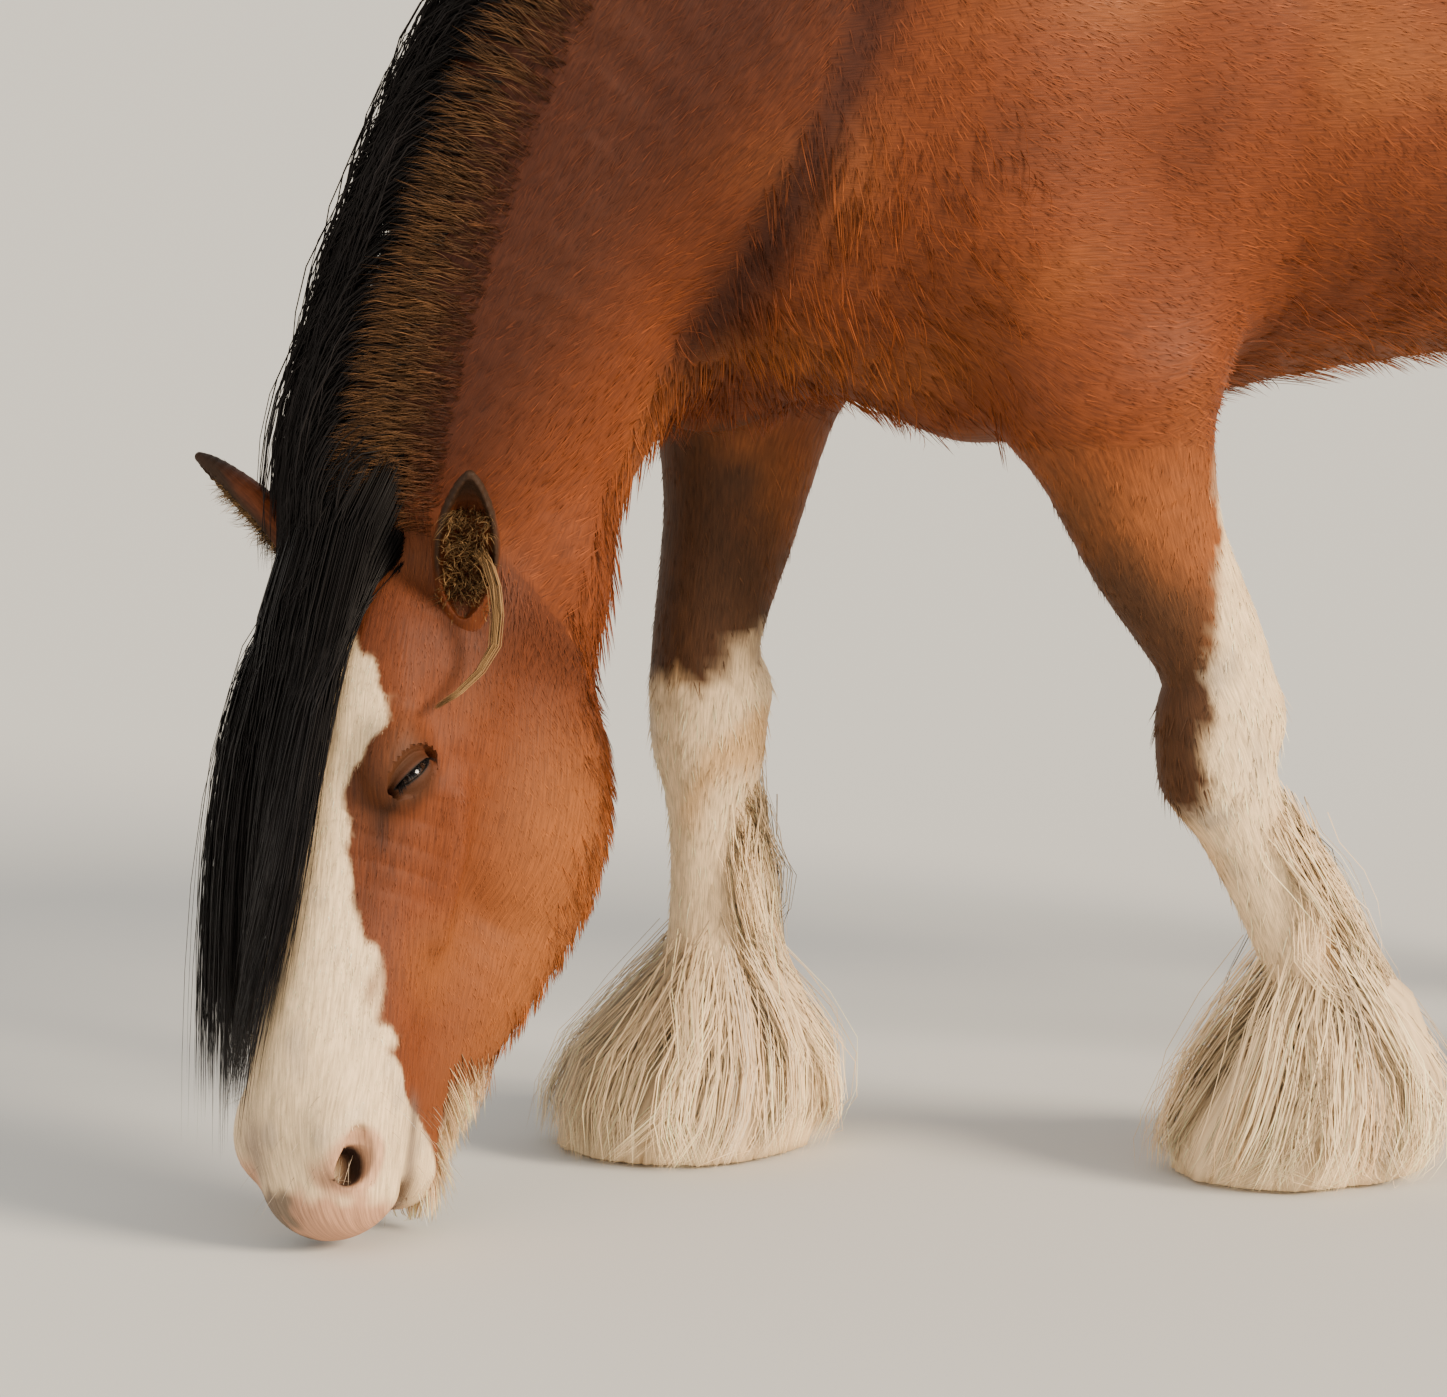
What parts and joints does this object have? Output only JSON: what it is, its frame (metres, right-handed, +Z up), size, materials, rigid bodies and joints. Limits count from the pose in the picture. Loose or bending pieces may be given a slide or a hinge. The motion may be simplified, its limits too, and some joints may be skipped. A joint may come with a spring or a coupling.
{
  "type": "clydesdale horse",
  "caption": "Life-size draught horse grazing with its head down, bay with a white blaze and feathered white legs, black mane and tail.",
  "frame": {"origin": "on the floor, under the middle of the horse's bounding box", "axes": "-X is the way the horse faces, -Y is its left side, +Z is up; X runs along its longest extent"},
  "size_m": [2.5372, 0.8082, 1.7003],
  "materials": {
    "bay_coat": "short reddish-brown hair with a soft sheen",
    "white_hair": "long soft cream-white hair",
    "black_hair": "long black hair",
    "horn": "satin horn",
    "eyeball": "wet and glossy"
  },
  "bodies": {
    "root": {"torso": "bay_coat", "neck": "bay_coat", "head": "bay_coat", "ear_left": "bay_coat", "ear_right": "bay_coat", "eye_left": "eyeball", "eye_right": "eyeball", "foreleg_left_upper": "bay_coat", "foreleg_right_upper": "bay_coat", "hindleg_left_upper": "bay_coat", "hindleg_right_upper": "bay_coat", "foreleg_left_lower": "white_hair", "foreleg_right_lower": "white_hair", "hindleg_left_lower": "white_hair", "hindleg_right_lower": "white_hair", "forehoof_left": "horn", "forehoof_right": "horn", "hindhoof_left": "horn", "hindhoof_right": "horn", "tail": "black_hair"}
  },
  "joints": []
}
